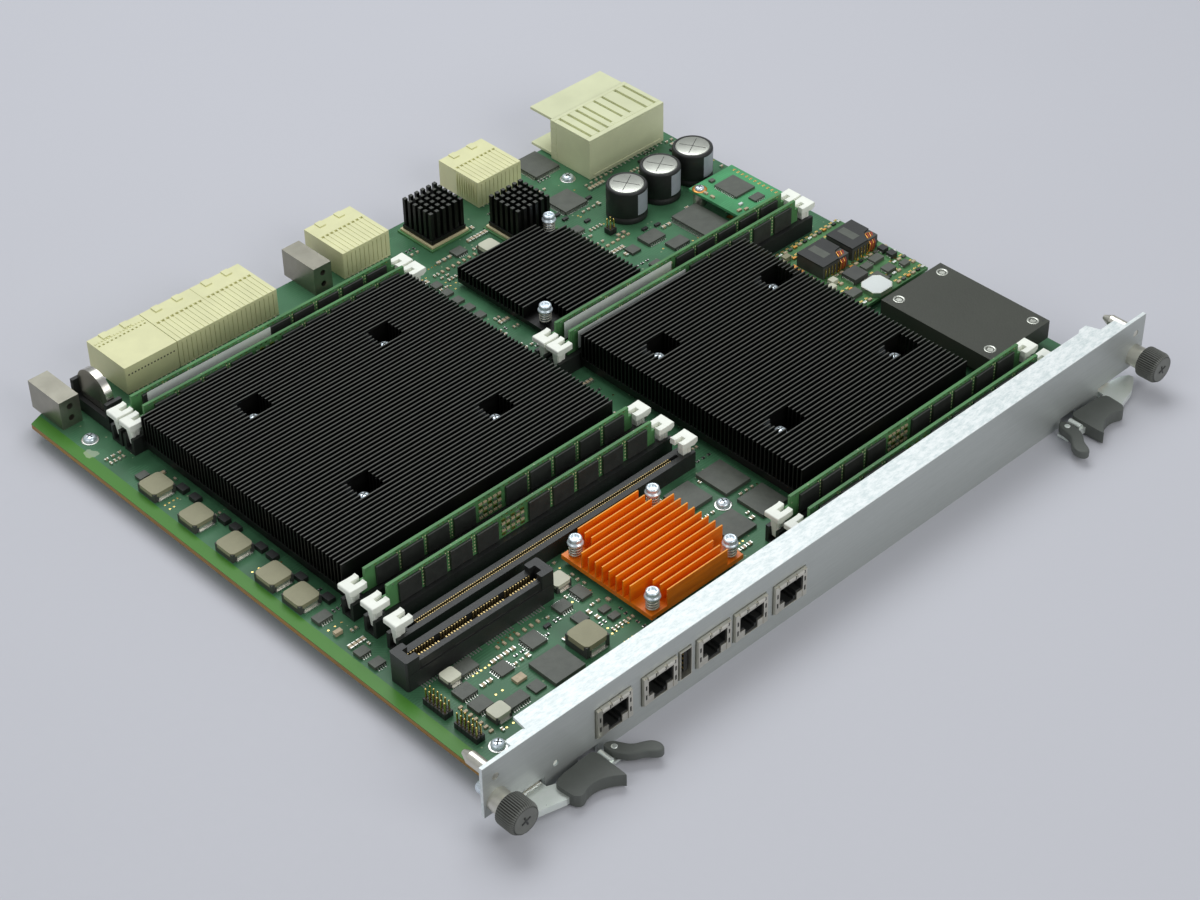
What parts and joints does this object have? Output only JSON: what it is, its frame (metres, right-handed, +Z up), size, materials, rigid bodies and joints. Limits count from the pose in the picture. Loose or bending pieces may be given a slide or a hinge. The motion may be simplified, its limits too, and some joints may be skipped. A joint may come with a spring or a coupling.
{
  "type": "telecom_board_module",
  "caption": "Plug-in telecom processor board with steel front panel, two processor heatsinks, memory banks and ejector handles",
  "frame": {"origin": "middle of the front panel's bottom edge, on the board's mid-plane, at the resting level", "axes": "+X along the front panel to the right seen from the front, +Y into the chassis, +Z up from the component side"},
  "size_m": [0.3524, 0.312, 0.0292],
  "materials": {
    "board": "satin solder mask",
    "zinc_steel": "brushed",
    "nickel": "satin nickel",
    "black_aluminium": "black anodised",
    "orange_aluminium": "orange anodised",
    "black_plastic": "matt",
    "grey_plastic": "matt",
    "cream_plastic": "satin",
    "ferrite": "matt"
  },
  "bodies": {
    "blade": {"alignment_blocks": "nickel", "battery_holder": "black_plastic", "board_screws": "nickel", "capacitors": "black_plastic", "card_socket": "black_plastic", "chip_heatsinks": "black_aluminium", "coin_cell": "nickel", "cpu_back_plates": "zinc_steel", "cpu_heatsink_a": "black_aluminium", "cpu_heatsink_b": "black_aluminium", "dimm_sockets": "black_plastic", "flash_mezzanine": "board", "front_panel": "zinc_steel", "handle_brackets": "zinc_steel", "logic_chips": "black_plastic", "magnetics": "ferrite", "main_board": "board", "memory_chips": "black_plastic", "memory_modules": "board", "orange_heatsink": "orange_aluminium", "panel_hardware": "nickel", "pin_headers": "black_plastic", "port_inserts": "black_plastic", "port_shells": "nickel", "power_brick": "black_aluminium", "power_connector": "grey_plastic", "power_module": "board", "rear_connector_smooth": "cream_plastic", "rear_connectors_ribbed": "cream_plastic", "sink_packages": "black_plastic", "small_components": "black_plastic", "spring_screws": "nickel"},
    "thumbscrew_left": {"thumbscrew_left": "black_plastic"},
    "thumbscrew_right": {"thumbscrew_right": "black_plastic"},
    "handle_left": {"handle_left": "nickel", "grip_left": "black_plastic"},
    "handle_right": {"handle_right": "nickel", "grip_right": "black_plastic"},
    "trigger_left": {"trigger_left": "black_plastic"},
    "trigger_right": {"trigger_right": "black_plastic"},
    "reset_button": {"reset_button": "black_plastic"},
    "latch_1A_left": {"latch_1A_left": "cream_plastic"},
    "latch_1A_right": {"latch_1A_right": "cream_plastic"},
    "latch_1B_left": {"latch_1B_left": "cream_plastic"},
    "latch_1B_right": {"latch_1B_right": "cream_plastic"},
    "latch_1C_left": {"latch_1C_left": "cream_plastic"},
    "latch_1C_right": {"latch_1C_right": "cream_plastic"},
    "latch_2A_left": {"latch_2A_left": "cream_plastic"},
    "latch_2A_right": {"latch_2A_right": "cream_plastic"},
    "latch_2B_left": {"latch_2B_left": "cream_plastic"},
    "latch_2B_right": {"latch_2B_right": "cream_plastic"},
    "latch_3A_left": {"latch_3A_left": "cream_plastic"},
    "latch_3A_right": {"latch_3A_right": "cream_plastic"},
    "latch_3B_left": {"latch_3B_left": "cream_plastic"},
    "latch_3B_right": {"latch_3B_right": "cream_plastic"},
    "latch_4A_left": {"latch_4A_left": "cream_plastic"},
    "latch_4A_right": {"latch_4A_right": "cream_plastic"},
    "latch_4B_left": {"latch_4B_left": "cream_plastic"},
    "latch_4B_right": {"latch_4B_right": "cream_plastic"}
  },
  "joints": [
    {"name": "screw_left", "type": "hinge", "parent": "blade", "child": "thumbscrew_left", "pos_m": [-0.16762, -0.0108, 0.01195], "axis": [0, 1, 0], "continuous": true},
    {"name": "screw_right", "type": "hinge", "parent": "blade", "child": "thumbscrew_right", "pos_m": [0.17137, -0.0108, 0.01195], "axis": [0, 1, 0], "continuous": true},
    {"name": "eject_left", "type": "hinge", "parent": "blade", "child": "handle_left", "pos_m": [-0.14872, 0.0087, 0.00265], "axis": [0, 0, -1], "range_deg": [0, 28]},
    {"name": "eject_right", "type": "hinge", "parent": "blade", "child": "handle_right", "pos_m": [0.15247, 0.0087, 0.00265], "axis": [0, 0, 1], "range_deg": [0, 28]},
    {"name": "release_left", "type": "hinge", "parent": "handle_left", "child": "trigger_left", "pos_m": [-0.11993, -0.0066, 0.00415], "axis": [0, 0, -1], "range_deg": [0, 10], "stiffness_Nm_per_rad": 0.02},
    {"name": "release_right", "type": "hinge", "parent": "handle_right", "child": "trigger_right", "pos_m": [0.12367, -0.0066, 0.00415], "axis": [0, 0, 1], "range_deg": [0, 10], "stiffness_Nm_per_rad": 0.02},
    {"name": "reset_press", "type": "slide", "parent": "blade", "child": "reset_button", "axis": [0, 1, 0], "range_m": [0, 0.0008], "stiffness_N_per_m": 400},
    {"name": "swing_1A_left", "type": "hinge", "parent": "blade", "child": "latch_1A_left", "pos_m": [-0.14113, 0.1038, 0.01165], "axis": [0, -1, 0], "range_deg": [0, 35]},
    {"name": "swing_1A_right", "type": "hinge", "parent": "blade", "child": "latch_1A_right", "pos_m": [-0.00013, 0.1038, 0.01165], "axis": [0, 1, 0], "range_deg": [0, 35]},
    {"name": "swing_1B_left", "type": "hinge", "parent": "blade", "child": "latch_1B_left", "pos_m": [-0.14113, 0.0914, 0.01165], "axis": [0, -1, 0], "range_deg": [0, 35]},
    {"name": "swing_1B_right", "type": "hinge", "parent": "blade", "child": "latch_1B_right", "pos_m": [-0.00013, 0.0914, 0.01165], "axis": [0, 1, 0], "range_deg": [0, 35]},
    {"name": "swing_1C_left", "type": "hinge", "parent": "blade", "child": "latch_1C_left", "pos_m": [-0.14113, 0.079, 0.01165], "axis": [0, -1, 0], "range_deg": [0, 35]},
    {"name": "swing_1C_right", "type": "hinge", "parent": "blade", "child": "latch_1C_right", "pos_m": [-0.00013, 0.079, 0.01165], "axis": [0, 1, 0], "range_deg": [0, 35]},
    {"name": "swing_2A_left", "type": "hinge", "parent": "blade", "child": "latch_2A_left", "pos_m": [-0.14113, 0.2425, 0.01165], "axis": [0, -1, 0], "range_deg": [0, 35]},
    {"name": "swing_2A_right", "type": "hinge", "parent": "blade", "child": "latch_2A_right", "pos_m": [-0.00013, 0.2425, 0.01165], "axis": [0, 1, 0], "range_deg": [0, 35]},
    {"name": "swing_2B_left", "type": "hinge", "parent": "blade", "child": "latch_2B_left", "pos_m": [-0.14113, 0.2344, 0.01165], "axis": [0, -1, 0], "range_deg": [0, 35]},
    {"name": "swing_2B_right", "type": "hinge", "parent": "blade", "child": "latch_2B_right", "pos_m": [-0.00013, 0.2344, 0.01165], "axis": [0, 1, 0], "range_deg": [0, 35]},
    {"name": "swing_3A_left", "type": "hinge", "parent": "blade", "child": "latch_3A_left", "pos_m": [0.00617, 0.1622, 0.01165], "axis": [0, -1, 0], "range_deg": [0, 35]},
    {"name": "swing_3A_right", "type": "hinge", "parent": "blade", "child": "latch_3A_right", "pos_m": [0.14718, 0.1622, 0.01165], "axis": [0, 1, 0], "range_deg": [0, 35]},
    {"name": "swing_3B_left", "type": "hinge", "parent": "blade", "child": "latch_3B_left", "pos_m": [0.00617, 0.1542, 0.01165], "axis": [0, -1, 0], "range_deg": [0, 35]},
    {"name": "swing_3B_right", "type": "hinge", "parent": "blade", "child": "latch_3B_right", "pos_m": [0.14718, 0.1542, 0.01165], "axis": [0, 1, 0], "range_deg": [0, 35]},
    {"name": "swing_4A_left", "type": "hinge", "parent": "blade", "child": "latch_4A_left", "pos_m": [-0.00613, 0.025, 0.01165], "axis": [0, -1, 0], "range_deg": [0, 35]},
    {"name": "swing_4A_right", "type": "hinge", "parent": "blade", "child": "latch_4A_right", "pos_m": [0.13487, 0.025, 0.01165], "axis": [0, 1, 0], "range_deg": [0, 35]},
    {"name": "swing_4B_left", "type": "hinge", "parent": "blade", "child": "latch_4B_left", "pos_m": [-0.00613, 0.0154, 0.01165], "axis": [0, -1, 0], "range_deg": [0, 35]},
    {"name": "swing_4B_right", "type": "hinge", "parent": "blade", "child": "latch_4B_right", "pos_m": [0.13487, 0.0154, 0.01165], "axis": [0, 1, 0], "range_deg": [0, 35]}
  ]
}
